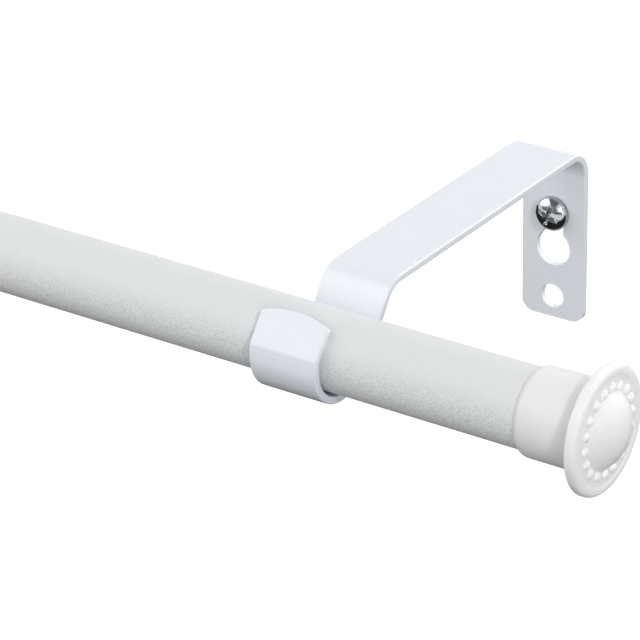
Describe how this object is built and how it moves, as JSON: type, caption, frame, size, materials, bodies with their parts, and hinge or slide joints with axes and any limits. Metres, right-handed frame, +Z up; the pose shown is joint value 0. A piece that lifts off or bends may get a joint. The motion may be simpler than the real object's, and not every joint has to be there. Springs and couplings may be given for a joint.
{
  "type": "extendable curtain rod",
  "caption": "Telescoping curtain rod with beaded end caps, resting in folded strip wall brackets with keyhole plates.",
  "frame": {"origin": "axis of the right-hand bracket's screw where it meets the wall", "axes": "+X along the rod towards the right-hand end cap, +Y into the wall along the screw, +Z up"},
  "size_m": [0.864, 0.1161, 0.0455],
  "materials": {
    "rod_paint": "off-white fine sandy powder coat",
    "bracket_paint": "smooth cool white gloss enamel",
    "cap_plastic": "satin white moulded plastic",
    "guide_plastic": "plain natural white plastic",
    "screw_chrome": "bright plated steel"
  },
  "bodies": {
    "outer_rod": {"outer_tube": "rod_paint", "right_cap": "cap_plastic", "right_bracket": "bracket_paint", "right_screw": "screw_chrome"},
    "inner_rod": {"inner_tube": "rod_paint", "glide_plug": "guide_plastic", "left_cap": "cap_plastic", "left_cap_sleeve": "guide_plastic", "left_bracket": "bracket_paint", "left_screw": "screw_chrome"}
  },
  "joints": [
    {"name": "rod_slide", "type": "slide", "parent": "outer_rod", "child": "inner_rod", "axis": [-1, 0, 0], "range_m": [-0.153, 0.355]}
  ]
}
